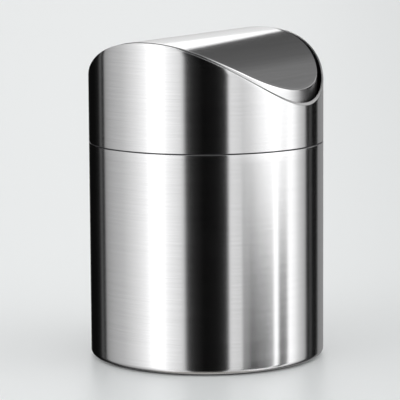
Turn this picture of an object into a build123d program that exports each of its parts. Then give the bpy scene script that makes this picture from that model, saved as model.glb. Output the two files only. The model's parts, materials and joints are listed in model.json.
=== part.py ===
"""Round countertop waste bin with a swinging flap in its lid.

Millimetres, +Z up. The origin is the middle of the base, on the table. The flap turns about a level
axis along X, so its two low sides face -Y (front) and +Y (back), and its pivots are at -X (left) and
+X (right).

The bin is two stainless tubes on one diameter. The lower tube is the body, with a pressed disc for a
floor. The upper tube is the lid shell: its rim is cut to the outline of a lying cylinder, high over
the two pivots and low at the front and back. A plastic collar fixed in the lid shell plugs into the
body. The flap is a pressed steel cap, bent much like that lying cylinder, with a skirt that drops
inside the lid rim. It turns on two shoulder screws, and a steel bar below the pivots brings it back
level. Two fingers on the pivot brackets stop it when it stands nearly upright.
"""

import os
from math import sqrt

from build123d import *

os.makedirs("parts", exist_ok=True)

# Body
can_radius = 60.0  # outside of the body and of the lid shell
sheet = 0.5  # gauge of the stainless sheet
body_height = 110.7  # table to the top edge of the body
foot_height = 0.8  # how far the foot ring holds the shell off the table
corner_radius = 2.8  # outside radius where the wall turns in under the base
lip_width = 5.0  # flat lip turned in under the floor disc
hem_thickness = 2 * sheet  # edge folded back on itself, at the top of the body and round the lid rim
hem_depth = 5.0
edge_round = 0.4  # rounding of the folded edges

# Floor disc
disc_play = 0.2  # between the disc and the start of the shell's corner
disc_seat = 2.0  # flat rim of the disc that lies on the lip
disc_step_width = 2.2  # sloping step inside that rim
disc_step_rise = 1.6
panel_radius = 36.0  # raised panel in the middle, for stiffness
panel_step_width = 1.2
panel_rise = 0.9
press_bend = 1.0  # radius of the pressed bends on the underside

# Foot ring
foot_inset = 1.0  # from the start of the shell's corner to the ring's outer edge
foot_width = 6.0
foot_rib_thickness = 1.2
foot_rib_height = 1.8  # above the ring, inside the lip
foot_fit = 0.1  # between the rib and the lip
barb_reach = 0.4  # how far the rib's barb hooks over the lip
barb_height = 0.8
barb_gap = 0.1  # between the barb and the top of the lip

# Collar between body and lid
flange_thickness = 0.6  # the dark line between the two tubes
flange_inset = 0.5  # how far that line lies behind the steel
collar_wall = 1.4
collar_upper_height = 7.5  # part inside the lid shell
collar_glue = 0.1  # radial gap between that part and the lid shell
plug_depth = 11.5  # part inside the body
plug_fit = 0.4  # radial gap between the plug and the body's folded edge
plug_taper = 1.0  # lead-in at the bottom of the plug
plug_rib_count = 12  # upright ribs that steady the plug in the body
plug_rib_reach = 0.15
plug_rib_width = 2.0

# Lid shell
lid_height = 53.7  # lower edge to the highest point of the rim
arch_radius = 71.0  # of the lying cylinder that cuts the rim

# Flap shell
flap_rise = 0.3  # how far the flap's crown stands above the rim
flap_gap = 2.2  # between the skirt and the folded rim
flap_margin = 12.0  # straight margin at the front and back, past the bend
flap_edge_radius = 1.0  # where the top turns down into the skirt
skirt_depth = 9.0
ear_radius = 7.0  # tongues of the skirt that reach down round the pivots

# Flap liner
liner_gap = 0.1  # between the liner and the flap shell
liner_wall = 1.4
liner_setback = 0.5  # how far the liner's edge stays inside the skirt's edge
liner_rib_depth = 4.0
liner_rib_thickness = 1.2
liner_rib_pitch = 25.0
liner_rib_count = 3

# Pivots
pivot_drop = 11.0  # crown of the flap to the pivot axis
screw_radius = 1.5
screw_end_gap = 0.2  # tip of the pivot screw to the lid shell
head_radius = 3.0
head_height = 2.0
running_clearance = 0.05
thread_clearance = 0.02
bush_wall = 1.1
bush_flange = 0.4
bush_flange_radius = 3.8
bush_overhang = 0.3  # how far the bush stands in from the liner
washer_radius = 3.6
washer_thickness = 0.5
side_play = 0.3  # of the flap, at the washer and at the bracket's boss
bracket_sheet = 1.0
bracket_gap = 0.1  # between the bracket and the lid shell
bracket_width = 14.0
bracket_top_gap = 0.5  # to the folded rim above
bracket_corner = 3.0  # rounding of its lower corners
boss_radius = 3.0

# Stop fingers on the brackets
stop_drop = 12.0  # pivot axis to the top of the finger
stop_width = 5.0
stop_reach = 3.9  # how far the finger stands in from the bracket
stop_neck = 2.0  # top of the finger to the bracket's lower edge
stop_bend = 0.8  # inside radius of the bend

# Counterweight
weight_length = 64.0
weight_width = 12.0
weight_thickness = 6.0
weight_drop = 8.0  # pivot axis to the top of the bar
weight_corner = 3.0
weight_chamfer = 0.6
weight_screw_pitch = 50.0
weight_screw_length = 12.0
post_radius = 4.0
post_hole_spare = 1.5  # hole left past the tip of the screw

# Recess in the screw heads
recess_width = 0.8
recess_depth = 1.0

# Heights that follow
lip_top = foot_height + sheet
lid_bottom = body_height + flange_thickness
rim_top = lid_bottom + lid_height
arch_centre = rim_top - arch_radius
crown_height = rim_top + flap_rise
pivot_height = crown_height - pivot_drop
weight_top = pivot_height - weight_drop

# Radii that follow
wall_inside = can_radius - sheet
hem_inside = can_radius - hem_thickness
corner_start = can_radius - corner_radius
lip_bore = corner_start - lip_width
flap_radius = hem_inside - flap_gap
liner_radius = flap_radius - sheet - liner_gap
liner_inside = liner_radius - liner_wall
crown_bend = arch_radius + flap_rise
bend_half_width = flap_radius - flap_margin
bracket_outside = wall_inside - bracket_gap
bracket_inside = bracket_outside - bracket_sheet
bush_radius = screw_radius + running_clearance + bush_wall

# Pivot stack, measured from the middle of the bin outwards
flange_seat = flap_radius + running_clearance
boss_end = flange_seat + bush_flange + side_play
bush_end = liner_inside - bush_overhang
washer_seat = bush_end - side_play - washer_thickness
screw_tip = wall_inside - screw_end_gap


def lying_cylinder(drop=0.0):
    """The cylinder along X that the lid rim is cut to, lowered by a drop."""
    with BuildPart() as block:
        with BuildSketch(Plane.YZ):
            with Locations((0, arch_centre - drop)):
                Circle(arch_radius)
        extrude(amount=2 * can_radius, both=True)
    return block.part


def arched_plug(radius, drop=0.0):
    """Upright cylinder from the lid's lower edge to the arch of the rim, lowered by a drop."""
    with BuildPart() as plug:
        with BuildSketch(Plane.XY.offset(lid_bottom)):
            Circle(radius)
        extrude(amount=lid_height)
        add(lying_cylinder(drop), mode=Mode.INTERSECT)
    return plug.part


def flap_section(drop=0.0, inset=0.0):
    """The flap seen along X, filled down to the table: a bend with a straight margin at each side."""
    centre = arch_centre - drop
    bend_end = centre + sqrt(crown_bend**2 - bend_half_width**2)
    margin_slope = bend_half_width / (bend_end - centre)
    reach = 2 * flap_margin + bend_half_width
    reach_height = bend_end - margin_slope * (reach - bend_half_width)
    with BuildSketch() as section:
        with BuildLine():
            ThreePointArc(
                (-bend_half_width, bend_end),
                (0, crown_height - drop),
                (bend_half_width, bend_end),
            )
            Polyline(
                (bend_half_width, bend_end),
                (reach, reach_height),
                (reach, 0),
                (-reach, 0),
                (-reach, reach_height),
                (-bend_half_width, bend_end),
            )
        make_face()
        if inset > 0:
            offset(amount=-inset)
    return section.sketch


def flap_plug(radius, inset=0.0, edge_radius=0.0):
    """Upright cylinder up to the flap's surface, or to a surface set in by an inset."""
    with BuildPart() as plug:
        with BuildSketch(Plane.YZ):
            add(flap_section(inset=inset))
        extrude(amount=2 * can_radius, both=True)
        with BuildSketch(Plane.XY):
            Circle(radius)
        extrude(amount=crown_height, mode=Mode.INTERSECT)
        if edge_radius > 0:
            rim = plug.edges().filter_by(GeomType.LINE, reverse=True)
            fillet(rim.filter_by(lambda edge: edge.center().Z > lid_bottom), edge_radius)
    return plug.part


def below_skirt(depth, tongue_radius):
    """Everything under a skirt of a depth, apart from the tongues round the pivots."""
    with BuildPart() as block:
        with BuildSketch(Plane.YZ):
            add(flap_section(drop=depth))
            with Locations((0, pivot_height)):
                Circle(tongue_radius, mode=Mode.SUBTRACT)
            with Locations((0, pivot_height + pivot_drop / 2)):
                Rectangle(2 * tongue_radius, pivot_drop, mode=Mode.SUBTRACT)
        extrude(amount=2 * can_radius, both=True)
    return block.part


def pan_head_screw(length):
    """Screw along +Z from the underside of its head, with a cross recess in the head below."""
    with BuildPart() as screw:
        Cylinder(screw_radius, length, align=(Align.CENTER, Align.CENTER, Align.MIN))
        chamfer(screw.edges().group_by(Axis.Z)[-1], screw_radius / 4)
        Cylinder(head_radius, head_height, align=(Align.CENTER, Align.CENTER, Align.MAX))
        fillet(screw.edges().group_by(Axis.Z)[0], head_height / 2)
        with BuildSketch(Plane.XY.offset(-head_height)):
            Rectangle(head_radius, recess_width)
            Rectangle(recess_width, head_radius)
        extrude(amount=recess_depth, mode=Mode.SUBTRACT)
    return screw.part


def outward(side, distance):
    """Plane that looks outwards along the pivot axis, at a distance from the middle of the bin."""
    return Plane(origin=(side * distance, 0, pivot_height), x_dir=(0, side, 0), z_dir=(side, 0, 0))


def lengthwise(side):
    """Upright plane through the pivot axis, with its X running out to one side from the middle."""
    return Plane(origin=(0, 0, 0), x_dir=(side, 0, 0), z_dir=(0, -side, 0))


# Body shell: a tube, folded over at the top, whose lower edge turns in under the floor disc.
with BuildPart() as body_shell:
    with BuildSketch(Plane.XZ) as profile:
        with BuildLine():
            Polyline(
                (corner_start, foot_height),
                (lip_bore, foot_height),
                (lip_bore, lip_top),
                (corner_start, lip_top),
            )
            JernArc((corner_start, lip_top), (1, 0), corner_radius - sheet, 90)
            Polyline(
                (wall_inside, foot_height + corner_radius),
                (wall_inside, body_height - hem_depth),
                (hem_inside, body_height - hem_depth),
                (hem_inside, body_height),
                (can_radius, body_height),
                (can_radius, foot_height + corner_radius),
            )
            JernArc((corner_start, foot_height), (1, 0), corner_radius, 90)
        make_face()
        fillet(profile.vertices().group_by(Axis.Y)[-1], edge_round)
    revolve(axis=Axis.Z)
body_shell.part.label = "body_shell"
export_step(body_shell.part, "parts/body_shell.step")

# Floor disc: pressed sheet with a step inside its rim and a raised panel in the middle. The line of
# its underside is drawn with its bends and then given the gauge of the sheet.
disc_radius = corner_start - disc_play
step_start = disc_radius - disc_seat
step_end = step_start - disc_step_width
disc_level = lip_top + disc_step_rise
panel_level = disc_level + panel_rise
with BuildPart() as floor_disc:
    with BuildSketch(Plane.XZ):
        with BuildLine():
            FilletPolyline(
                (0, panel_level),
                (panel_radius, panel_level),
                (panel_radius + panel_step_width, disc_level),
                (step_end, disc_level),
                (step_start, lip_top),
                (disc_radius, lip_top),
                radius=press_bend,
            )
            offset(amount=sheet, side=Side.LEFT)
        make_face()
    revolve(axis=Axis.Z)
floor_disc.part.label = "floor_disc"
export_step(floor_disc.part, "parts/floor_disc.step")

# Foot ring: flat plastic ring under the lip, with a rib inside the lip whose barb hooks over it.
foot_outside = corner_start - foot_inset
rib_outside = lip_bore - foot_fit
rib_inside = rib_outside - foot_rib_thickness
barb_start = lip_top + barb_gap
with BuildPart() as foot_ring:
    with BuildSketch(Plane.XZ):
        with BuildLine():
            Polyline(
                (foot_outside, 0),
                (foot_outside, foot_height),
                (rib_outside, foot_height),
                (rib_outside, barb_start),
                (rib_outside + foot_fit + barb_reach, barb_start),
                (rib_outside, barb_start + barb_height),
                (rib_outside, foot_height + foot_rib_height),
                (rib_inside, foot_height + foot_rib_height),
                (rib_inside, foot_height),
                (foot_outside - foot_width, foot_height),
                (foot_outside - foot_width, 0),
                close=True,
            )
        make_face()
    revolve(axis=Axis.Z)
foot_ring.part.label = "foot_ring"
export_step(foot_ring.part, "parts/foot_ring.step")

# Collar: its upper wall is fixed in the lid shell, its flange shows between the two tubes, and its
# ribbed plug drops into the body.
upper_outside = wall_inside - collar_glue
upper_inside = upper_outside - collar_wall
plug_outside = hem_inside - plug_fit
plug_inside = plug_outside - collar_wall
plug_bottom = body_height - plug_depth
with BuildPart() as collar:
    with BuildSketch(Plane.XZ):
        with BuildLine():
            Polyline(
                (plug_inside, plug_bottom),
                (plug_outside - plug_taper, plug_bottom),
                (plug_outside, plug_bottom + 2 * plug_taper),
                (plug_outside, body_height),
                (can_radius - flange_inset, body_height),
                (can_radius - flange_inset, lid_bottom),
                (upper_outside, lid_bottom),
                (upper_outside, lid_bottom + collar_upper_height),
                (upper_inside, lid_bottom + collar_upper_height),
                (upper_inside, lid_bottom),
                (plug_inside, body_height - collar_wall),
                close=True,
            )
        make_face()
    revolve(axis=Axis.Z)
    with BuildSketch(Plane.XY.offset(plug_bottom + 2 * plug_taper)):
        with PolarLocations(plug_outside - collar_wall / 2, plug_rib_count):
            Rectangle(collar_wall + 2 * plug_rib_reach, plug_rib_width)
    extrude(amount=plug_depth - 2 * plug_taper)
collar.part.label = "collar"
export_step(collar.part, "parts/collar.step")

# Lid shell: a tube cut to the arch, with the sheet folded over inside along the whole rim.
with BuildPart() as lid_shell:
    add(arched_plug(can_radius))
    with BuildSketch(Plane.XY.offset(lid_bottom)):
        Circle(hem_inside)
    extrude(amount=lid_height, mode=Mode.SUBTRACT)
    add(arched_plug(wall_inside, hem_depth), mode=Mode.SUBTRACT)
    rim_edges = lid_shell.edges().filter_by(GeomType.LINE, reverse=True)
    fillet(rim_edges.filter_by(lambda edge: edge.bounding_box().max.Z > rim_top - 1), edge_round)
lid_shell.part.label = "lid_shell"
export_step(lid_shell.part, "parts/lid_shell.step")

# Flap shell: pressed cap with a skirt, and a tongue with a hole at each pivot.
with BuildPart() as flap_shell:
    add(flap_plug(flap_radius, edge_radius=flap_edge_radius))
    add(flap_plug(flap_radius - sheet, sheet, flap_edge_radius - sheet), mode=Mode.SUBTRACT)
    add(below_skirt(skirt_depth, ear_radius), mode=Mode.SUBTRACT)
    with BuildSketch(Plane.YZ):
        with Locations((0, pivot_height)):
            Circle(bush_radius + thread_clearance)
    extrude(amount=can_radius, both=True, mode=Mode.SUBTRACT)
flap_shell.part.label = "flap_shell"
export_step(flap_shell.part, "parts/flap_shell.step")

# Flap liner: moulding that backs the cap, with cross ribs and a spine, an ear at each pivot and two
# posts for the counterweight's screws.
liner_top = sheet + liner_gap
liner_underside = liner_top + liner_wall
rib_root = liner_top + liner_wall / 2
post_height = crown_height - rib_root - weight_top
with BuildPart() as rib_grid:
    for step in range(liner_rib_count):
        rib_offset = (step - (liner_rib_count - 1) / 2) * liner_rib_pitch
        with BuildSketch(Plane.YZ.offset(rib_offset)):
            add(flap_section(inset=rib_root))
            add(flap_section(drop=liner_underside + liner_rib_depth), mode=Mode.SUBTRACT)
        extrude(amount=liner_rib_thickness / 2, both=True)
    with BuildSketch(Plane.XZ):
        with Locations((0, crown_height - rib_root - liner_rib_depth / 2)):
            Rectangle(2 * liner_radius, liner_rib_depth)
    extrude(amount=liner_rib_thickness / 2, both=True)
    with BuildSketch(Plane.XY):
        Circle(liner_radius - liner_wall / 2)
    extrude(amount=crown_height, mode=Mode.INTERSECT)
with BuildPart() as flap_liner:
    add(flap_plug(liner_radius, liner_top, flap_edge_radius - sheet))
    add(flap_plug(liner_inside, liner_underside), mode=Mode.SUBTRACT)
    add(below_skirt(skirt_depth - liner_setback, ear_radius - liner_setback), mode=Mode.SUBTRACT)
    add(rib_grid.part)
    with BuildSketch(Plane.XY.offset(weight_top)):
        with GridLocations(weight_screw_pitch, 1, 2, 1):
            Circle(post_radius)
    extrude(amount=post_height)
    with BuildSketch(Plane.XY.offset(weight_top)):
        with GridLocations(weight_screw_pitch, 1, 2, 1):
            Circle(screw_radius + thread_clearance)
    extrude(amount=weight_screw_length - weight_thickness + post_hole_spare, mode=Mode.SUBTRACT)
    with BuildSketch(Plane.YZ):
        with Locations((0, pivot_height)):
            Circle(bush_radius + thread_clearance)
    extrude(amount=can_radius, both=True, mode=Mode.SUBTRACT)
flap_liner.part.label = "flap_liner"
export_step(flap_liner.part, "parts/flap_liner.step")

# Pivot hardware, the same at both ends of the flap.
plate_top = rim_top - hem_depth - bracket_top_gap
finger_top = pivot_height - stop_drop
finger_bottom = finger_top - bracket_sheet
plate_bottom = finger_top + stop_neck
for side_name, side in (("left", -1), ("right", 1)):
    # Bracket: a plate that follows the lid shell, with a boss for the screw. A narrower finger runs on
    # below it and is bent in as the flap's stop, and is then trimmed to the lid shell's curve.
    with BuildPart() as bracket:
        with BuildSketch(Plane.XY.offset(plate_bottom)):
            Circle(bracket_outside)
            Circle(bracket_inside, mode=Mode.SUBTRACT)
            with Locations((side * can_radius / 2, 0)):
                Rectangle(can_radius, bracket_width, mode=Mode.INTERSECT)
        extrude(amount=plate_top - plate_bottom)
        add(lying_cylinder(hem_depth + bracket_top_gap), mode=Mode.INTERSECT)
        fillet(bracket.edges().filter_by(Axis.X).group_by(Axis.Z)[0], bracket_corner)
        with BuildSketch(outward(side, boss_end)):
            Circle(boss_radius)
        extrude(until=Until.NEXT)
        with BuildSketch(lengthwise(side)):
            with BuildLine():
                FilletPolyline(
                    (bracket_outside, plate_bottom + bracket_sheet),
                    (bracket_outside, finger_bottom),
                    (bracket_inside - stop_reach, finger_bottom),
                    radius=stop_bend + bracket_sheet,
                )
                offset(amount=bracket_sheet, side=Side.RIGHT)
            make_face()
        extrude(amount=stop_width / 2, both=True)
        with BuildSketch(Plane.XY):
            Circle(bracket_outside)
        extrude(amount=crown_height, mode=Mode.INTERSECT)
        with BuildSketch(outward(side, boss_end)):
            Circle(screw_radius + thread_clearance)
        extrude(amount=can_radius, mode=Mode.SUBTRACT)
    bracket.part.label = "pivot_bracket_" + side_name
    export_step(bracket.part, "parts/pivot_bracket_" + side_name + ".step")

    # Bush: sleeve through the flap's ear, with its flange outside.
    with BuildPart() as bush:
        with BuildSketch(outward(side, bush_end)):
            Circle(bush_radius)
        extrude(amount=flange_seat - bush_end)
        with BuildSketch(outward(side, flange_seat)):
            Circle(bush_flange_radius)
        extrude(amount=bush_flange)
        with BuildSketch(outward(side, bush_end)):
            Circle(screw_radius + running_clearance)
        extrude(amount=can_radius, mode=Mode.SUBTRACT)
    bush.part.label = "bush_" + side_name
    export_step(bush.part, "parts/bush_" + side_name + ".step")

    # Washer under the screw's head.
    with BuildPart() as washer:
        with BuildSketch(outward(side, washer_seat)):
            Circle(washer_radius)
            Circle(screw_radius + thread_clearance, mode=Mode.SUBTRACT)
        extrude(amount=washer_thickness)
    washer.part.label = "washer_" + side_name
    export_step(washer.part, "parts/washer_" + side_name + ".step")

    # Pivot screw: through the washer, the bush and the bracket's boss.
    with BuildPart() as pivot_screw:
        with Locations(outward(side, washer_seat)):
            add(pan_head_screw(screw_tip - washer_seat))
    pivot_screw.part.label = "pivot_screw_" + side_name
    export_step(pivot_screw.part, "parts/pivot_screw_" + side_name + ".step")

# Counterweight: steel bar across the flap, with clearance holes for its two screws.
weight_bottom = weight_top - weight_thickness
with BuildPart() as counterweight:
    with BuildSketch(Plane.XY.offset(weight_bottom)):
        RectangleRounded(weight_length, weight_width, weight_corner)
    extrude(amount=weight_thickness)
    chamfer(counterweight.faces().sort_by(Axis.Z)[0].edges(), weight_chamfer)
    with BuildSketch(Plane.XY.offset(weight_bottom)):
        with GridLocations(weight_screw_pitch, 1, 2, 1):
            Circle(screw_radius + running_clearance)
    extrude(amount=weight_thickness, mode=Mode.SUBTRACT)
counterweight.part.label = "counterweight"
export_step(counterweight.part, "parts/counterweight.step")

with BuildPart() as counterweight_screws:
    with Locations(Plane.XY.offset(weight_bottom)):
        with GridLocations(weight_screw_pitch, 1, 2, 1):
            add(pan_head_screw(weight_screw_length))
counterweight_screws.part.label = "counterweight_screws"
export_step(counterweight_screws.part, "parts/counterweight_screws.step")
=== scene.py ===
import json
from math import asin, cos, pi, radians, sin, sqrt

import bmesh
import bpy
import numpy as np
from mathutils import Matrix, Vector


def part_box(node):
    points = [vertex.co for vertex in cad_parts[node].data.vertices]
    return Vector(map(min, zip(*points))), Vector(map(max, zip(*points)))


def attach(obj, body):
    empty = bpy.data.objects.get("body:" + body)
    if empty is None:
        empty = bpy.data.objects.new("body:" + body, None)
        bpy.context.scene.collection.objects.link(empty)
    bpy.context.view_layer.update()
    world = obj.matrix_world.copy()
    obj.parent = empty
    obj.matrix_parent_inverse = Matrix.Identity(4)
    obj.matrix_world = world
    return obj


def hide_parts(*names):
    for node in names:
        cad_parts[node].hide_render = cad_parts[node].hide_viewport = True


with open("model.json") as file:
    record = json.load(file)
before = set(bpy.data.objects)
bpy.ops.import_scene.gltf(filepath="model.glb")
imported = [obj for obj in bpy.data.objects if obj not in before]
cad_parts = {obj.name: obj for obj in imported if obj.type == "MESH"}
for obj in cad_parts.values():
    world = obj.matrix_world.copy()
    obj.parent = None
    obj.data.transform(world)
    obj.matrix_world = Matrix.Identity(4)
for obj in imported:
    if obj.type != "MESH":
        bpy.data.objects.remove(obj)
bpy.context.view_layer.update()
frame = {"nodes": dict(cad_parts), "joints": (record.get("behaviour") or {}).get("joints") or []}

# ---- Camera ----------------------------------------------------------------------------------
# A long lens a little above the bin, looking down at it past the left pivot and the front low side.
# The distance, height and tilt are those that put the seam, base and sides where the photograph has
# them. The focal length is given in widths of the picture.
MM = 0.001
CAMERA_AZIMUTH = radians(-58.0)
CAMERA_DISTANCE = 1318.0 * MM
CAMERA_HEIGHT = 271.8 * MM
CAMERA_PITCH = radians(8.283)
CAMERA_YAW = radians(-0.145)
CAMERA_ROLL = radians(0.353)
LENS_PER_WIDTH = 2591.3 / 400.0
SENSOR_WIDTH = 36.0

camera_data = bpy.data.cameras.new("camera")
camera_data.sensor_width = SENSOR_WIDTH
camera_data.lens = LENS_PER_WIDTH * SENSOR_WIDTH
camera = bpy.data.objects.new("camera", camera_data)
bpy.context.scene.collection.objects.link(camera)
about_bin = Matrix.Rotation(CAMERA_AZIMUTH, 4, "Z")
tilt = Matrix.Rotation(-CAMERA_YAW, 4, "Z") @ Matrix.Rotation(pi / 2 - CAMERA_PITCH, 4, "X")
camera.matrix_world = (
    about_bin
    @ Matrix.Translation((0, -CAMERA_DISTANCE, CAMERA_HEIGHT))
    @ tilt
    @ Matrix.Rotation(-CAMERA_ROLL, 4, "Z")
)
bpy.context.scene.camera = camera
bpy.context.scene.view_settings.view_transform = "Standard"

# ---- Studio ----------------------------------------------------------------------------------
# A surround of tall light panels with dark gaps, which give brushed metal its upright bands, and behind
# the bin a bright screen with a dark stretch to its right. Azimuths are in degrees to the right of the
# camera, seen from the bin, and elevations in degrees above the level.
PANELS = (
    (-180, 0.62),
    (-172, 0.45),
    (-167, 0.004),
    (-140, 0.004),
    (-129.5, 0.012),
    (-126.5, 0.11),
    (-124, 0.11),
    (-121.5, 0.006),
    (-119, 0.006),
    (-116.8, 0.365),
    (-104, 0.505),
    (-90, 0.62),
    (-72, 0.94),
    (-62, 1.18),
    (-54, 1.60),
    (-44, 1.60),
    (-39, 1.20),
    (-33, 1.05),
    (-25, 0.87),
    (-22.5, 0.68),
    (-19.5, 0.060),
    (-12, 0.016),
    (-3, 0.002),
    (10, 0.006),
    (18, 0.022),
    (20.5, 0.035),
    (22.5, 0.92),
    (30, 0.84),
    (36, 0.80),
    (45, 1.00),
    (53, 1.24),
    (60, 1.42),
    (66, 1.50),
    (75, 1.60),
    (78, 1.42),
    (86, 1.24),
    (90, 1.45),
    (96, 1.20),
    (102, 0.82),
    (108, 0.62),
    (113, 0.53),
    (114.8, 0.020),
    (119.5, 0.014),
    (122, 0.075),
    (124.5, 0.075),
    (127, 0.005),
    (139.5, 0.005),
    (142.5, 0.26),
    (158, 0.30),
    (168, 0.26),
    (174, 0.62),
    (180, 0.62),
)
SCREEN = ((0.0, 0.58), (3.0, 0.70), (9.0, 0.84), (12.6, 0.84), (13.8, 1.40))
SCREEN_EDGE = (0.027, 0.033)
SCREEN_LEAN = 0.0038
SCREEN_LEFT_END = (-0.22, -0.12)
SCREEN_FOOT = (-1.0, 2.0)
DARK_STRETCH = ((140, 0.24), (150, 0.21), (156, 0.135), (166, 0.105), (173, 0.088))
BEHIND = (144.5, 147.5)
GAIN = (0.80, 1.50)
GAIN_ELEVATIONS = (-25.0, 30.0)
SIDE_LIGHT = 0.75
SIDE_LIGHT_ELEVATIONS = ((14.0, 22.0), (28.0, 25.0))
SIDE_LIGHT_AZIMUTHS = ((95.0, 120.0), (150.0, 143.0))
CEILING = 0.25
CEILING_ELEVATIONS = (38.0, 52.0)
WORKTOP_BELOW = (0.40, 0.385, 0.36)
WORKTOP_ELEVATIONS = (-68.0, -58.0)
ZENITH = 90.0
BACKDROP = 0.82
AMBIENT = 0.90


def wired(tree, kind, inputs=(), **settings):
    """A node with its settings, each input set to a value or linked to another node's output."""
    node = tree.nodes.new(kind)
    for key, value in settings.items():
        setattr(node, key, value)
    for socket, value in dict(inputs).items():
        if isinstance(value, bpy.types.NodeSocket):
            tree.links.new(value, node.inputs[socket])
        else:
            node.inputs[socket].default_value = value
    return node


def maths(tree, operation, *values):
    """A Math node of one operation."""
    return wired(tree, "ShaderNodeMath", dict(enumerate(values)), operation=operation).outputs[0]


def rgba(level):
    """A grey level or a colour, as the four numbers of a colour socket."""
    return (*level, 1.0) if isinstance(level, tuple) else (level, level, level, 1.0)


def ramp(tree, factor, stops):
    """A colour ramp of grey or coloured stops, given as (place, level or colour)."""
    node = wired(tree, "ShaderNodeValToRGB", {"Fac": factor})
    for index, (place, level) in enumerate(stops):
        if index < 2:
            element = node.color_ramp.elements[index]
            element.position = place
        else:
            element = node.color_ramp.elements.new(place)
        element.color = rgba(level)
    return node.outputs[0]


def level_at(tree, value, start, end):
    """A factor that goes smoothly from 0 where a value is 'start' to 1 where it is 'end'.

    Where the start is the higher of the two, the factor falls as the value grows.
    """
    return wired(
        tree, "ShaderNodeMapRange", {"Value": value, "From Min": start, "From Max": end},
        interpolation_type="SMOOTHSTEP",
    ).outputs[0]


def within(tree, value, rise, fall):
    """A factor that rises to 1 over one pair of values and falls back to 0 over another."""
    return maths(tree, "MULTIPLY", level_at(tree, value, *rise), level_at(tree, value, *fall))


def blended(tree, factor, low, high):
    """A colour that goes from low to high with a factor."""
    node = wired(tree, "ShaderNodeMix", {0: factor}, data_type="RGBA")
    for socket, value in ((6, low), (7, high)):
        if isinstance(value, bpy.types.NodeSocket):
            tree.links.new(value, node.inputs[socket])
        else:
            node.inputs[socket].default_value = rgba(value)
    return node.outputs[2]


def shares_of_turn(stops):
    """Stops at azimuths from -180 to 180 degrees, moved to 0 to 1."""
    return [((place + 180) / 360, level) for place, level in stops]


def build_surround():
    """World shader, in layers that cover one another.

    The panels' level goes by azimuth, times a gain that grows with the elevation. The screen and the
    dark stretch cover them behind the bin, and a light patch covers them high on the right. The ceiling
    and the worktop cover all these at steep angles. The screen's two ends are given as how far to the
    right a direction of length 1 points. Only reflections see any of it: matt surfaces are lit by an
    even ambient level, and the camera sees the backdrop.
    """
    world = bpy.data.worlds.new("surround")
    bpy.context.scene.world = world
    world.use_nodes = True
    tree = world.node_tree
    tree.nodes.clear()
    direction = wired(tree, "ShaderNodeTexCoord").outputs["Generated"]
    turned = wired(
        tree, "ShaderNodeVectorRotate",
        {"Vector": direction, "Angle": -CAMERA_AZIMUTH}, rotation_type="Z_AXIS",
    )
    right, away, up = wired(tree, "ShaderNodeSeparateXYZ", {0: turned.outputs[0]}).outputs
    azimuth = maths(tree, "ARCTAN2", right, maths(tree, "MULTIPLY", away, -1.0))
    turn = maths(tree, "MULTIPLY_ADD", azimuth, 0.5 / pi, 0.5)
    elevation = maths(tree, "MULTIPLY", maths(tree, "ARCSINE", up), 180 / pi)

    # A colour ramp holds 32 stops at most, so the panels take two.
    half = len(PANELS) // 2
    stops = shares_of_turn(PANELS)
    panels = blended(
        tree, maths(tree, "GREATER_THAN", turn, stops[half][0]),
        ramp(tree, turn, stops[: half + 1]), ramp(tree, turn, stops[half:]))
    gain = wired(tree, "ShaderNodeMapRange", {
        "Value": elevation,
        "From Min": GAIN_ELEVATIONS[0],
        "From Max": GAIN_ELEVATIONS[1],
        "To Min": GAIN[0],
        "To Max": GAIN[1],
    }).outputs[0]
    panels = maths(tree, "MULTIPLY", panels, gain)

    screen_stops = [(place / ZENITH, level) for place, level in SCREEN]
    screen = ramp(tree, maths(tree, "DIVIDE", elevation, ZENITH), screen_stops)
    dark_stretch = ramp(tree, turn, shares_of_turn(DARK_STRETCH))
    edge = maths(tree, "MULTIPLY_ADD", elevation, -SCREEN_LEAN, right)
    back = blended(tree, level_at(tree, edge, *SCREEN_EDGE), screen, dark_stretch)
    either_side = maths(tree, "ABSOLUTE", azimuth)
    behind = maths(
        tree, "MULTIPLY", level_at(tree, elevation, *SCREEN_FOOT),
        level_at(tree, either_side, *np.radians(BEHIND)))
    behind = maths(tree, "MULTIPLY", behind, level_at(tree, right, *SCREEN_LEFT_END))
    surround = blended(tree, behind, panels, back)

    side_light = maths(
        tree, "MULTIPLY", within(tree, elevation, *SIDE_LIGHT_ELEVATIONS),
        within(tree, azimuth, *np.radians(SIDE_LIGHT_AZIMUTHS)))
    surround = blended(tree, side_light, surround, SIDE_LIGHT)
    surround = blended(tree, level_at(tree, elevation, *CEILING_ELEVATIONS), surround, CEILING)
    reflected = blended(tree, level_at(tree, elevation, *WORKTOP_ELEVATIONS), WORKTOP_BELOW, surround)
    path = wired(tree, "ShaderNodeLightPath")
    lit = blended(tree, path.outputs["Is Diffuse Ray"], reflected, AMBIENT)
    colour = blended(tree, path.outputs["Is Camera Ray"], lit, BACKDROP)
    light = wired(tree, "ShaderNodeBackground", {"Color": colour, "Strength": 1.0})
    wired(tree, "ShaderNodeOutputWorld", {"Surface": light.outputs[0]})


build_surround()


# ---- Floor of the studio ---------------------------------------------------------------------
# A wide pale worktop, kept out of the metal's reflections. Two dark cards stand below its level, where
# only the metal's downward reflections reach them, and darken the lower part of the body's right side.
FLOOR_REACH = 12.0
FLOOR_COLOUR = (0.80, 0.82, 0.822)
FLOOR_ROUGHNESS = 0.4
CARD_ROUGHNESS = 1.0
CARD_DISTANCE = 520.0 * MM
CARD_DEPTH = 400.0 * MM


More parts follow.
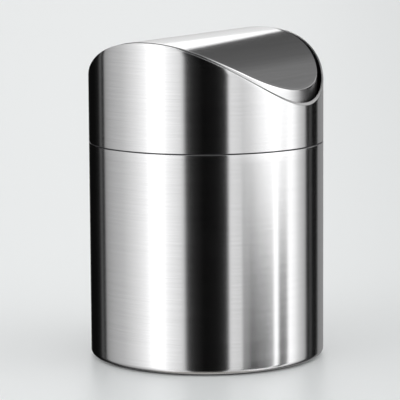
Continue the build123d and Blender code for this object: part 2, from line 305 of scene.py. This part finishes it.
def plain_sheet(name, corners, roughness):
    """A flat sheet through four corners that belongs to the studio, and its shader."""
    mesh = bpy.data.meshes.new(name)
    mesh.from_pydata(corners, [], [(0, 1, 2, 3)])
    material = bpy.data.materials.new(name)
    material.use_nodes = True
    shader = material.node_tree.nodes["Principled BSDF"]
    shader.inputs["Roughness"].default_value = roughness
    mesh.materials.append(material)
    sheet = bpy.data.objects.new(name, mesh)
    bpy.context.scene.collection.objects.link(sheet)
    return sheet, shader


floor_corners = [(x * FLOOR_REACH, y * FLOOR_REACH, 0) for x, y in ((-1, -1), (1, -1), (1, 1), (-1, 1))]
worktop, worktop_shader = plain_sheet("worktop", floor_corners, FLOOR_ROUGHNESS)
worktop_shader.inputs["Base Color"].default_value = rgba(FLOOR_COLOUR)
worktop.visible_glossy = False


def sunk_card(name, start, end, tones):
    """An upright card below the worktop's level, between two azimuths, in greys from side to side."""
    sides = [CAMERA_AZIMUTH + radians(start), CAMERA_AZIMUTH + radians(end)]
    (left_x, left_y), (right_x, right_y) = [
        (sin(bearing) * CARD_DISTANCE, -cos(bearing) * CARD_DISTANCE) for bearing in sides]
    corners = [
        (left_x, left_y, -CARD_DEPTH), (right_x, right_y, -CARD_DEPTH), (right_x, right_y, 0.0),
        (left_x, left_y, 0.0)]
    card, shader = plain_sheet(name, corners, CARD_ROUGHNESS)
    card.visible_camera = False
    card.visible_diffuse = False
    card.visible_shadow = False
    tree = card.active_material.node_tree
    place = wired(tree, "ShaderNodeTexCoord").outputs["Object"]
    x = wired(tree, "ShaderNodeSeparateXYZ", {0: place}).outputs[0]
    across = maths(tree, "DIVIDE", maths(tree, "SUBTRACT", x, left_x), right_x - left_x)
    tree.links.new(ramp(tree, across, tones), shader.inputs["Base Color"])


sunk_card("wide_card", 33.0, 65.2, (
    (0.0, 0.30), (0.18, 0.24), (0.25, 0.0), (0.38, 0.0), (0.50, 0.06), (0.70, 0.12), (0.84, 0.26),
    (1.0, 0.45)))
sunk_card("narrow_card", 70.5, 81.5, ((0.0, 0.12), (0.5, 0.10), (1.0, 0.25)))


# ---- Body shell ------------------------------------------------------------------------------
# Stainless sheet, rolled and welded into a tube and brushed round. The top edge is folded over
# inside, and the lower edge is turned in as a lip that the floor disc and the foot ring share.
SHEET = 0.5 * MM
HEM_THICKNESS = 1.0 * MM
HEM_DEPTH = 5.0 * MM
HEM_ROUND = 0.4 * MM
CORNER_RADIUS = 2.8 * MM
LIP_WIDTH = 5.0 * MM
SHARP_ABOVE = radians(40)
COARSE_SCALE = 0.23
FINE_SHARE = 0.65
COARSE_SHARE = 0.35
LINE_TONES = (0.30, 0.62)
LINE_SHADE = 0.86
LINE_GLOSS = 0.08
LINE_STRENGTH = 0.10
LINE_HEIGHT = 0.04 * MM
PATCH_SCALE = 38.0
PATCH_GLOSS = 0.05
body_low, body_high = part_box("body_shell")
RADIUS = body_high[0]
body_top, body_foot = body_high[2], body_low[2]


def grid_mesh(name, rows, looped):
    """A closed surface from rows of points that run round it, rows x columns x 3.

    Each cell of the grid is a quad, and the columns close on themselves. If looped, the last row joins
    the first, as on a ring. If not, the first and last row have shrunk to one point each, and fans of
    triangles close them. Where the signed volume comes out negative the faces are turned round.
    """
    round_count = rows.shape[1]
    rings = rows if looped else rows[1:-1]
    points = rings.reshape(-1, 3)
    i = np.arange(len(rings) if looped else len(rings) - 1)[:, None]
    j = np.arange(round_count)[None, :]
    i_next, j_next = (i + 1) % len(rings), (j + 1) % round_count
    quads = np.stack(
        [i * round_count + j, i * round_count + j_next,
         i_next * round_count + j_next, i_next * round_count + j], axis=-1).reshape(-1, 4)
    faces = quads.tolist()
    if not looped:
        start, end = len(points), len(points) + 1
        points = np.vstack([points, rows[0, 0], rows[-1, 0]])
        ring = np.arange(round_count)
        ring_next = (ring + 1) % round_count
        last = (len(rings) - 1) * round_count
        first_fan = [np.full(round_count, start), ring_next, ring]
        last_fan = [np.full(round_count, end), last + ring, last + ring_next]
        faces += np.stack(first_fan, axis=-1).tolist() + np.stack(last_fan, axis=-1).tolist()
    a, b, c, d = (points[quads[:, k]] for k in range(4))
    volume = (a * (np.cross(b, c) + np.cross(c, d))).sum()
    if volume < 0:
        faces = [face[::-1] for face in faces]
    mesh = bpy.data.meshes.new(name)
    mesh.from_pydata(points.tolist(), [], faces)
    mesh.polygons.foreach_set("use_smooth", np.ones(len(mesh.polygons), bool))
    mesh.set_sharp_from_angle(angle=SHARP_ABOVE)
    mesh.update()
    piece = bpy.data.objects.new(name, mesh)
    bpy.context.scene.collection.objects.link(piece)
    return piece


def arc(centre, radius, start, end, steps=8):
    """Points (r, z) on an arc about a centre, between two angles in degrees."""
    t = np.radians(np.linspace(start, end, steps + 1))
    return np.stack([centre[0] + radius * np.cos(t), centre[1] + radius * np.sin(t)], axis=1)


def ring_points(r, t, z):
    """Points at radius r, bearing t and height z: (r cos t, r sin t, z)."""
    return np.stack(np.broadcast_arrays(r * np.cos(t), r * np.sin(t), z), axis=-1)


def turned_piece(name, profile, looped=True, around_steps=256):
    """A profile of points (r, z) turned round the Z axis."""
    t = np.linspace(0, 2 * pi, around_steps, endpoint=False)
    r, z = profile[:, 0][:, None], profile[:, 1][:, None]
    return grid_mesh(name, ring_points(r, t, z), looped)


def new_finish(name):
    """A new material, its node tree, its shader and the Object coordinates in it."""
    material = bpy.data.materials.new(name)
    material.use_nodes = True
    tree = material.node_tree
    place = wired(tree, "ShaderNodeTexCoord").outputs["Object"]
    return material, tree, tree.nodes["Principled BSDF"], place


def noise(tree, place, scale, detail, roughness):
    """The value of a Noise texture at a place."""
    return wired(tree, "ShaderNodeTexNoise", {
        "Vector": place, "Scale": scale, "Detail": detail, "Roughness": roughness}).outputs[0]


def spread_about(tree, value, spread, middle):
    """A value that goes from 0 to 1, brought to a given spread about a middle."""
    return maths(tree, "MULTIPLY_ADD", value, spread, middle - spread / 2)


def brushed_steel(name, colour, along, roughness, anisotropic=0.95, rotation=0.25, axis="Z", lines=1.0):
    """Stainless steel with fine brush lines.

    The lines are noise that is stretched along the brushing: 'along' gives how fast it changes in X, Y
    and Z, so the large numbers lie across the lines. They move the tone, the gloss and the height a
    little, the last two in proportion to 'lines'. A broad soft noise adds the patches that hands and
    cloths leave.
    """
    material, tree, shader, place = new_finish(name)
    stretched = wired(tree, "ShaderNodeMapping", {"Vector": place, "Scale": along}).outputs[0]
    fine = noise(tree, stretched, scale=1.0, detail=5.0, roughness=0.7)
    coarse = noise(tree, stretched, scale=COARSE_SCALE, detail=3.0, roughness=0.6)
    patches = noise(tree, place, scale=PATCH_SCALE, detail=4.0, roughness=0.6)
    streaks = maths(
        tree, "ADD", maths(tree, "MULTIPLY", fine, FINE_SHARE),
        maths(tree, "MULTIPLY", coarse, COARSE_SHARE))
    dark = tuple(LINE_SHADE * c for c in colour)
    tones = ramp(tree, streaks, [(LINE_TONES[0], dark), (LINE_TONES[1], colour)])
    tree.links.new(tones, shader.inputs["Base Color"])
    gloss = maths(
        tree, "ADD", spread_about(tree, streaks, LINE_GLOSS * lines, roughness),
        spread_about(tree, patches, PATCH_GLOSS, 0.0))
    tree.links.new(gloss, shader.inputs["Roughness"])
    bump = wired(tree, "ShaderNodeBump", {
        "Strength": LINE_STRENGTH * lines, "Distance": LINE_HEIGHT, "Height": streaks}).outputs[0]
    tree.links.new(bump, shader.inputs["Normal"])
    tangent = wired(tree, "ShaderNodeTangent", direction_type="RADIAL", axis=axis).outputs[0]
    tree.links.new(tangent, shader.inputs["Tangent"])
    shader.inputs["Metallic"].default_value = 1.0
    shader.inputs["Anisotropic"].default_value = anisotropic
    shader.inputs["Anisotropic Rotation"].default_value = rotation
    return material


def body_profile(wall_steps=24):
    """The shell's closed section (r, z): outside wall, folded edge, inside wall, lip and corner."""
    inner, hem = RADIUS - SHEET, RADIUS - HEM_THICKNESS
    corner = RADIUS - CORNER_RADIUS
    bend = body_foot + CORNER_RADIUS
    walls = np.linspace(bend, body_top - HEM_ROUND, wall_steps)
    return np.vstack([
        np.stack([np.full(wall_steps, RADIUS), walls], axis=1),
        arc((RADIUS - HEM_ROUND, body_top - HEM_ROUND), HEM_ROUND, 0, 90)[1:],
        arc((hem + HEM_ROUND, body_top - HEM_ROUND), HEM_ROUND, 90, 180),
        [(hem, body_top - HEM_DEPTH), (inner, body_top - HEM_DEPTH), (inner, body_top / 2)],
        arc((corner, bend), CORNER_RADIUS - SHEET, 0, -90, steps=10),
        [(corner - LIP_WIDTH, body_foot + SHEET), (corner - LIP_WIDTH, body_foot)],
        arc((corner, bend), CORNER_RADIUS, -90, 0, steps=12)[:-1],
    ])


body_steel = brushed_steel(
    "body_steel", (0.80, 0.80, 0.805), along=(60.0, 60.0, 9000.0), roughness=0.19, lines=2.0)
body_shell = turned_piece("body_shell_brushed", body_profile(), around_steps=360)
body_shell.data.materials.append(body_steel)
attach(body_shell, "bin")
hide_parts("body_shell")


# ---- Floor disc ------------------------------------------------------------------------------
# Pressed stainless disc that lies on the shell's lip and closes the bottom. A sloping step lifts it
# inside its rim, and the raised panel in the middle keeps it stiff. Its brushing is straight.
DISC_SEAT = 2.0 * MM
DISC_STEP_WIDTH = 2.2 * MM
DISC_STEP_RISE = 1.6 * MM
PANEL_RADIUS = 36.0 * MM
PANEL_STEP_WIDTH = 1.2 * MM
PANEL_RISE = 0.9 * MM
disc_low, disc_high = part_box("floor_disc")
disc_radius, disc_foot = disc_high[0], disc_low[2]


def smooth_step(value, low, high):
    """0 below low, 1 above high, and between them the cubic 3t^2 - 2t^3."""
    t = np.clip((value - low) / (high - low), 0, 1)
    return t * t * (3 - 2 * t)


def disc_height(r):
    """Height of the disc's underside at a radius: its seat, plus a smooth step, plus the panel's."""
    step_start = disc_radius - DISC_SEAT
    step = smooth_step(-r, -step_start, DISC_STEP_WIDTH - step_start)
    panel = smooth_step(-r, -PANEL_RADIUS - PANEL_STEP_WIDTH, -PANEL_RADIUS)
    return disc_foot + DISC_STEP_RISE * step + PANEL_RISE * panel


def disc_profile(flat_steps=24, panel_steps=9, rim_steps=11):
    """Underside from the middle out, then the top from the rim back to the middle."""
    step_end = disc_radius - DISC_SEAT - DISC_STEP_WIDTH
    r = np.unique(np.concatenate([
        np.linspace(0, disc_radius, flat_steps),
        np.linspace(PANEL_RADIUS, PANEL_RADIUS + PANEL_STEP_WIDTH, panel_steps),
        np.linspace(step_end, step_end + DISC_STEP_WIDTH, rim_steps)]))
    under = np.stack([r, disc_height(r)], axis=1)
    return np.vstack([under, under[::-1] + (0, SHEET)])


floor_disc = turned_piece("floor_disc_pressed", disc_profile(), looped=False)
floor_disc.data.materials.append(brushed_steel(
    "disc_steel", (0.74, 0.74, 0.745), along=(50.0, 6000.0, 50.0), roughness=0.30, anisotropic=0.6,
    rotation=0.0))
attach(floor_disc, "bin")
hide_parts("floor_disc")


# ---- Foot ring -------------------------------------------------------------------------------
# Black moulded ring under the shell's lip, the thin dark line at the worktop. The rib on it stands
# inside the lip, and the rib's barb hooks over the lip, so the ring snaps in.
FOOT_WIDTH = 6.0 * MM
FOOT_ROUND = 0.25 * MM
FOOT_RIB = 1.2 * MM
FOOT_FIT = 0.1 * MM
BARB_REACH = 0.4 * MM
BARB_HEIGHT = 0.8 * MM
GRAIN_SCALE = 2600.0
GRAIN_STRENGTH = 0.25
GRAIN_HEIGHT = 0.03 * MM
CLOUD_SCALE = 60.0
CLOUD_TONES = (0.35, 0.70)
CLOUD_SHADE = 1.25
CLOUD_GLOSS = 0.12
foot_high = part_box("foot_ring")[1]


def moulded_plastic(name, colour, roughness):
    """Moulded plastic: one colour, a little lighter in soft clouds, with a fine even grain."""
    material, tree, shader, place = new_finish(name)
    grain = noise(tree, place, scale=GRAIN_SCALE, detail=2.0, roughness=0.5)
    clouds = noise(tree, place, scale=CLOUD_SCALE, detail=3.0, roughness=0.5)
    lighter = tuple(CLOUD_SHADE * c for c in colour)
    tones = ramp(tree, clouds, [(CLOUD_TONES[0], colour), (CLOUD_TONES[1], lighter)])
    tree.links.new(tones, shader.inputs["Base Color"])
    tree.links.new(spread_about(tree, clouds, CLOUD_GLOSS, roughness), shader.inputs["Roughness"])
    bump = wired(tree, "ShaderNodeBump", {
        "Strength": GRAIN_STRENGTH, "Distance": GRAIN_HEIGHT, "Height": grain}).outputs[0]
    tree.links.new(bump, shader.inputs["Normal"])
    return material


def foot_profile():
    """Section of the ring: a flat foot with eased edges, and the rib with its barb."""
    outside, thickness = foot_high[0], body_foot
    rib = RADIUS - CORNER_RADIUS - LIP_WIDTH - FOOT_FIT
    inside = outside - FOOT_WIDTH
    barb = body_foot + SHEET + FOOT_FIT
    return np.vstack([
        arc((outside - FOOT_ROUND, FOOT_ROUND), FOOT_ROUND, -90, 0, steps=4),
        arc((outside - FOOT_ROUND, thickness - FOOT_ROUND), FOOT_ROUND, 0, 90, steps=4),
        [(rib, thickness), (rib, barb), (rib + FOOT_FIT + BARB_REACH, barb),
         (rib, barb + BARB_HEIGHT), (rib, foot_high[2]), (rib - FOOT_RIB, foot_high[2]),
         (rib - FOOT_RIB, thickness)],
        arc((inside + FOOT_ROUND, thickness - FOOT_ROUND), FOOT_ROUND, 90, 180, steps=4),
        arc((inside + FOOT_ROUND, FOOT_ROUND), FOOT_ROUND, 180, 270, steps=4),
    ])


black_plastic = moulded_plastic("black_plastic", (0.022, 0.022, 0.024), roughness=0.48)
foot_ring = turned_piece("foot_ring_moulded", foot_profile())
foot_ring.data.materials.append(black_plastic)
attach(foot_ring, "bin")
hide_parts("foot_ring")


# ---- Lid shell -------------------------------------------------------------------------------
# The same tube, cut by a lying cylinder along the pivot axis so that its rim is high over the pivots
# and low at the front and back. The sheet is folded over inside along the whole rim. Below a bare
# edge the inner face is made near-black, which keeps the gap between the flap and the rim dark.
ARCH_RADIUS = 71.0 * MM
RIM_ROUND = 0.15 * MM
BARE_EDGE = 0.9 * MM
BARE_FOOT = 0.1 * MM
lid_low, lid_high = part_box("lid_shell")
lid_bottom, rim_top = lid_low[2], lid_high[2]
arch_centre = rim_top - ARCH_RADIUS


def arch_height(y):
    """Height of the rim over a distance from the pivot axis: a circle about the arch's centre."""
    return arch_centre + np.sqrt(ARCH_RADIUS**2 - y**2)


def lid_rows(round_steps=384, wall_steps=20):
    """Grid of the lid shell: at each bearing the wall's section, stretched up to the rim.

    Each section point is a radius, and a height given as a share of the way up to the rim plus an
    offset from it, so the folded edge keeps its size all the way round.
    """
    inner, hem = RADIUS - SHEET, RADIUS - HEM_THICKNESS
    outside = [(RADIUS, share, -RIM_ROUND * share) for share in np.linspace(0, 1, wall_steps)]
    edge = [(r, 1.0, z) for r, z in np.vstack([
        arc((RADIUS - RIM_ROUND, -RIM_ROUND), RIM_ROUND, 0, 90)[1:],
        arc((hem + RIM_ROUND, -RIM_ROUND), RIM_ROUND, 90, 180)])]
    fold = [(hem, 1.0, -BARE_EDGE), (hem, 1.0, -HEM_DEPTH), (inner, 1.0, -HEM_DEPTH)]
    inside = [(inner, share, -HEM_DEPTH * share) for share in np.linspace(1, 0, wall_steps)[1:]]
    r, share, offset = np.array(outside + edge + fold + inside).T[:, :, None]
    t = np.linspace(0, 2 * pi, round_steps, endpoint=False)
    top = arch_height(r * np.sin(t))
    return ring_points(r, t, lid_bottom + (top - lid_bottom) * share + offset)


def paint_inside(piece, inside_radius, bare):
    """Gives the second material to the faces inside a radius, from 'bare' below the rim downwards."""
    centres = np.empty(3 * len(piece.data.polygons))
    piece.data.polygons.foreach_get("center", centres)
    x, y, z = centres.reshape(-1, 3).T
    inside = np.hypot(x, y) < inside_radius
    painted = inside & (z < arch_height(y) - bare) & (z > lid_bottom + BARE_FOOT)
    piece.data.polygons.foreach_set("material_index", painted.astype(np.int32))


lid_shell = grid_mesh("lid_shell_brushed", lid_rows(), looped=True)
lid_shell.data.materials.append(body_steel)
# The inner face below the bare edge is made near-black, which darkens the gap inside the rim.
lid_shell.data.materials.append(moulded_plastic(
    "near_black_inside", (0.012, 0.012, 0.013), roughness=0.42))
paint_inside(lid_shell, RADIUS - HEM_THICKNESS / 2, BARE_EDGE)
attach(lid_shell, "lid")
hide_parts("lid_shell")


# ---- Collar ----------------------------------------------------------------------------------
# Black moulded ring fixed in the lower end of the lid shell. Its flange is the dark line between the
# two tubes, and its plug drops into the body, steadied there by upright ribs.
COLLAR_WALL = 1.4 * MM
COLLAR_UPPER = 7.5 * MM
COLLAR_GLUE = 0.1 * MM
PLUG_FIT = 0.4 * MM
PLUG_TAPER = 1.0 * MM
PLUG_LEAD = 2.0 * MM
PLUG_RIBS = 12
PLUG_RIB_WIDTH = 2.0 * MM
PLUG_RIB_REACH = 0.15 * MM
PLUG_RIB_ROUND = 0.25 * MM
PLUG_RIB_START = 0.05 * MM
collar_low, collar_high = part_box("collar")


def rib_bump(t, radius):
    """How far the ribs stand out at each bearing: flat tops with soft sides, evenly round the plug."""
    pitch = 2 * pi / PLUG_RIBS
    offset = np.abs((t + pitch / 2) % pitch - pitch / 2) * radius
    half = PLUG_RIB_WIDTH / 2
    return PLUG_RIB_REACH * (1 - smooth_step(offset, half - PLUG_RIB_ROUND, half + PLUG_RIB_ROUND))


def collar_rows(round_steps=960):
    """The collar's section at each bearing: points (r, z, share of the rib's reach added to r)."""
    plug = RADIUS - HEM_THICKNESS - PLUG_FIT
    upper = RADIUS - SHEET - COLLAR_GLUE
    bottom, lead = collar_low[2], collar_low[2] + PLUG_LEAD
    plain, ribbed = lead - PLUG_RIB_START, lead + PLUG_RIB_START
    section = [
        (plug - COLLAR_WALL, bottom, 0), (plug - PLUG_TAPER, bottom, 0), (plug, plain, 0),
        (plug, ribbed, 1), (plug, (lead + body_top) / 2, 1), (plug, body_top, 1),
        (collar_high[0], body_top, 0), (collar_high[0], lid_bottom, 0), (upper, lid_bottom, 0),
        (upper, lid_bottom + COLLAR_UPPER, 0), (upper - COLLAR_WALL, lid_bottom + COLLAR_UPPER, 0),
        (upper - COLLAR_WALL, lid_bottom, 0), (plug - COLLAR_WALL, body_top - COLLAR_WALL, -1),
        (plug - COLLAR_WALL, ribbed, -1), (plug - COLLAR_WALL, plain, 0)]
    r, z, share = np.array(section).T[:, :, None]
    t = np.linspace(0, 2 * pi, round_steps, endpoint=False)
    return ring_points(r + share * rib_bump(t, plug), t, z)


collar = grid_mesh("collar_moulded", collar_rows(), looped=True)
collar.data.materials.append(black_plastic)
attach(collar, "lid")
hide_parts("collar")


# ---- Flap shell ------------------------------------------------------------------------------
# A pressed stainless cap. Its top is bent along the pivot axis, with straight margins at the front and
# back. Its edge is rounded over into a skirt inside the rim, with a tongue at each pivot. The skirt is
# brushed round, and duller than the top.
FLAP_MARGIN = 12.0 * MM
FLAP_EDGE_RADIUS = 1.0 * MM
SKIRT_DEPTH = 9.0 * MM
EAR_RADIUS = 7.0 * MM
FLAP_RISE = 0.3 * MM
TONGUE_STEP = 1e-4
UPRIGHT_BELOW = 0.05
FLAP_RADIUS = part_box("flap_shell")[1][0]
PIVOT_HEIGHT = frame["joints"][1]["pos_m"][2]
bend_radius = ARCH_RADIUS + FLAP_RISE
bend_half = FLAP_RADIUS - FLAP_MARGIN
bend_end = sqrt(bend_radius**2 - bend_half**2)
margin_slope = bend_half / bend_end


def flap_height(y, inset=0.0):
    """Height of the flap's surface: a circular bend, then straight along the bend's last slope."""
    y = np.abs(y)
    radius = bend_radius - inset
    half = bend_half * radius / bend_radius
    bend = np.sqrt(radius**2 - np.minimum(y, half)**2)
    return arch_centre + bend - margin_slope * np.maximum(y - half, 0)


def flap_slope(y):
    """How fast that surface falls with the distance from the pivot axis."""
    y = np.clip(y, -bend_half, bend_half)
    return -y / np.sqrt(bend_radius**2 - y**2)


def cap_rows(radius, inset, edge_radius, t, top_steps=36, edge_steps=9, skirt_steps=8):
    """Rows from the middle of the cap, over its rounded edge and down the skirt to its lower edge.

    At each bearing the section is the bent surface out to where an arc of the edge radius, touching
    both it and the skirt, begins; then that arc; then the straight skirt. The skirt ends a fixed depth
    below the surface, or on the tongue's circle round the pivot, whichever is lower.
    """
    y = radius * np.sin(t)
    rim = flap_height(y, inset)
    fall = flap_slope(y) * np.sin(t)
    steep = np.sqrt(1 + fall**2)
    centre_r = radius - edge_radius
    centre_z = rim - fall * edge_radius - edge_radius * steep
    touch_r = centre_r - edge_radius * fall / steep
    rows = []
    for share in np.linspace(0, 1, top_steps):
        r = touch_r * share
        rows.append(ring_points(r, t, flap_height(r * np.sin(t), inset)))
    first = np.arctan2(1.0, -fall)
    for share in np.linspace(0, 1, edge_steps)[1:]:
        turn = first * (1 - share)
        r, z = centre_r + edge_radius * np.cos(turn), centre_z + edge_radius * np.sin(turn)
        rows.append(ring_points(r, t, z))
    reach = np.sqrt(np.maximum(EAR_RADIUS**2 - y**2, 0))
    skirt_end = flap_height(y) - SKIRT_DEPTH
    skirt_end = np.where(np.abs(y) < EAR_RADIUS, np.minimum(skirt_end, PIVOT_HEIGHT - reach), skirt_end)
    for share in np.linspace(0, 1, skirt_steps)[1:]:
        z = centre_z + (skirt_end - centre_z) * share
        rows.append(ring_points(radius, t, z))
    return np.array(rows)


def flap_bearings(radius, steps=384):
    """Bearings round the flap, with two very close ones at each side of each tongue."""
    t = np.linspace(0, 2 * pi, steps, endpoint=False)
    side = asin(EAR_RADIUS / radius)
    shifts = (-TONGUE_STEP, TONGUE_STEP)
    pairs = [base + sign * side + shift for base in (0, pi) for sign in (-1, 1) for shift in shifts]
    return np.sort(np.concatenate([t, np.mod(pairs, 2 * pi)]))


def paint_skirt(piece):
    """Gives the second material to the skirt: the faces whose normals hardly point up or down."""
    normals = np.empty(3 * len(piece.data.polygons))
    piece.data.polygons.foreach_get("normal", normals)
    upright = np.abs(normals.reshape(-1, 3)[:, 2]) < UPRIGHT_BELOW
    piece.data.polygons.foreach_set("material_index", upright.astype(np.int32))


bearings = flap_bearings(FLAP_RADIUS)
outer_rows = cap_rows(FLAP_RADIUS, 0.0, FLAP_EDGE_RADIUS, bearings)
inner_rows = cap_rows(FLAP_RADIUS - SHEET, SHEET, FLAP_EDGE_RADIUS - SHEET, bearings)
flap_steel = brushed_steel(
    "flap_steel", (0.78, 0.78, 0.785), along=(45.0, 5000.0, 5000.0), roughness=0.11, anisotropic=0.6,
    rotation=0.0, axis="X", lines=0.5)
flap_shell = grid_mesh("flap_shell_brushed", np.vstack([outer_rows, inner_rows[::-1]]), looped=False)
flap_shell.data.materials.append(flap_steel)
flap_shell.data.materials.append(brushed_steel(
    "skirt_steel", (0.80, 0.80, 0.805), along=(60.0, 60.0, 9000.0), roughness=0.30, anisotropic=0.4))
paint_skirt(flap_shell)
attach(flap_shell, "flap")
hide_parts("flap_shell")


# ---- Flap liner ------------------------------------------------------------------------------
# Black moulding that backs the pressed cap, with cross ribs, ears at the pivots and two posts for the
# counterweight. It keeps its construction shape, with the facets joined and the edges eased.
LINER_EASE = 0.15 * MM
JOIN_WITHIN = 0.001 * MM
FLAT_WITHIN = radians(0.5)
COPY_SHARP_ABOVE = radians(30)
EASE_ABOVE = radians(35)


def joined_copy(node, finish, ease):
    """A construction node's shape with its loose triangles joined and its flat faces made one.

    The shading normals that came with it are dropped, since they fit only the old faces. It is shaded
    smooth up to its edges, and a Bevel gives the edges a rounding of the size 'ease'.
    """
    mesh = frame["nodes"][node].data.copy()
    mesh.materials.clear()
    imported_normals = mesh.attributes.get("custom_normal")
    if imported_normals:
        mesh.attributes.remove(imported_normals)
    shape = bmesh.new()
    shape.from_mesh(mesh)
    bmesh.ops.remove_doubles(shape, verts=shape.verts, dist=JOIN_WITHIN)
    bmesh.ops.dissolve_limit(
        shape, angle_limit=FLAT_WITHIN, verts=shape.verts, edges=shape.edges, delimit={"NORMAL"})
    shape.to_mesh(mesh)
    shape.free()
    mesh.polygons.foreach_set("use_smooth", np.ones(len(mesh.polygons), bool))
    mesh.set_sharp_from_angle(angle=COPY_SHARP_ABOVE)
    piece = bpy.data.objects.new(node + "_" + finish, mesh)
    bpy.context.scene.collection.objects.link(piece)
    bevel = piece.modifiers.new("eased_edges", "BEVEL")
    bevel.width = ease
    bevel.segments = 2
    bevel.limit_method = "ANGLE"
    bevel.angle_limit = EASE_ABOVE
    return piece


flap_liner = joined_copy("flap_liner", "moulded", LINER_EASE)
flap_liner.data.materials.append(black_plastic)
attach(flap_liner, "flap")
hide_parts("flap_liner")


# ---- Pivot hardware --------------------------------------------------------------------------
# At each end of the flap: a stainless strip welded inside the lid shell, with a threaded boss and a
# bent stop finger; a plated shoulder screw with its washer; and a nylon bush in the flap's ear.
STRIP_EASE = 0.12 * MM
SMALL_EASE = 0.08 * MM
SPECK_TONES = (0.35, 0.65)
SPECK_SHADE = 0.82
SPECK_GLOSS = 0.16


def plated_metal(name, colour, roughness, speckle=900.0):
    """Steel with a mill or plated finish: an even metal whose tone and gloss vary in fine specks."""
    material, tree, shader, place = new_finish(name)
    specks = noise(tree, place, scale=speckle, detail=4.0, roughness=0.65)
    dull = tuple(SPECK_SHADE * c for c in colour)
    tones = ramp(tree, specks, [(SPECK_TONES[0], dull), (SPECK_TONES[1], colour)])
    tree.links.new(tones, shader.inputs["Base Color"])
    tree.links.new(spread_about(tree, specks, SPECK_GLOSS, roughness), shader.inputs["Roughness"])
    shader.inputs["Metallic"].default_value = 1.0
    return material


strip_finish = plated_metal("mill_finish_strip", (0.66, 0.66, 0.67), roughness=0.34)
screw_finish = plated_metal("bright_plating", (0.70, 0.70, 0.72), roughness=0.24, speckle=1600.0)
nylon = moulded_plastic("natural_nylon", (0.72, 0.70, 0.63), roughness=0.40)


def fitted(node, finish, ease, material, body):
    """A joined copy of a construction node, in its material and on its body."""
    piece = joined_copy(node, finish, ease)
    piece.data.materials.append(material)
    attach(piece, body)
    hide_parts(node)


for side in ("left", "right"):
    fitted("pivot_bracket_" + side, "bent", STRIP_EASE, strip_finish, "lid")
    fitted("pivot_screw_" + side, "plated", SMALL_EASE, screw_finish, "lid")
    fitted("washer_" + side, "plated", SMALL_EASE, screw_finish, "lid")
    fitted("bush_" + side, "moulded", SMALL_EASE, nylon, "flap")


# ---- Counterweight ---------------------------------------------------------------------------
# Zinc-plated flat bar hung from the liner's posts below the pivots, where it brings the flap back
# level, and the two pan-head screws that hold it.
WEIGHT_EASE = 0.15 * MM
bar_finish = plated_metal("zinc_plated_bar", (0.52, 0.52, 0.53), roughness=0.38, speckle=420.0)
fitted("counterweight", "plated", WEIGHT_EASE, bar_finish, "flap")
fitted("counterweight_screws", "plated", SMALL_EASE, screw_finish, "flap")
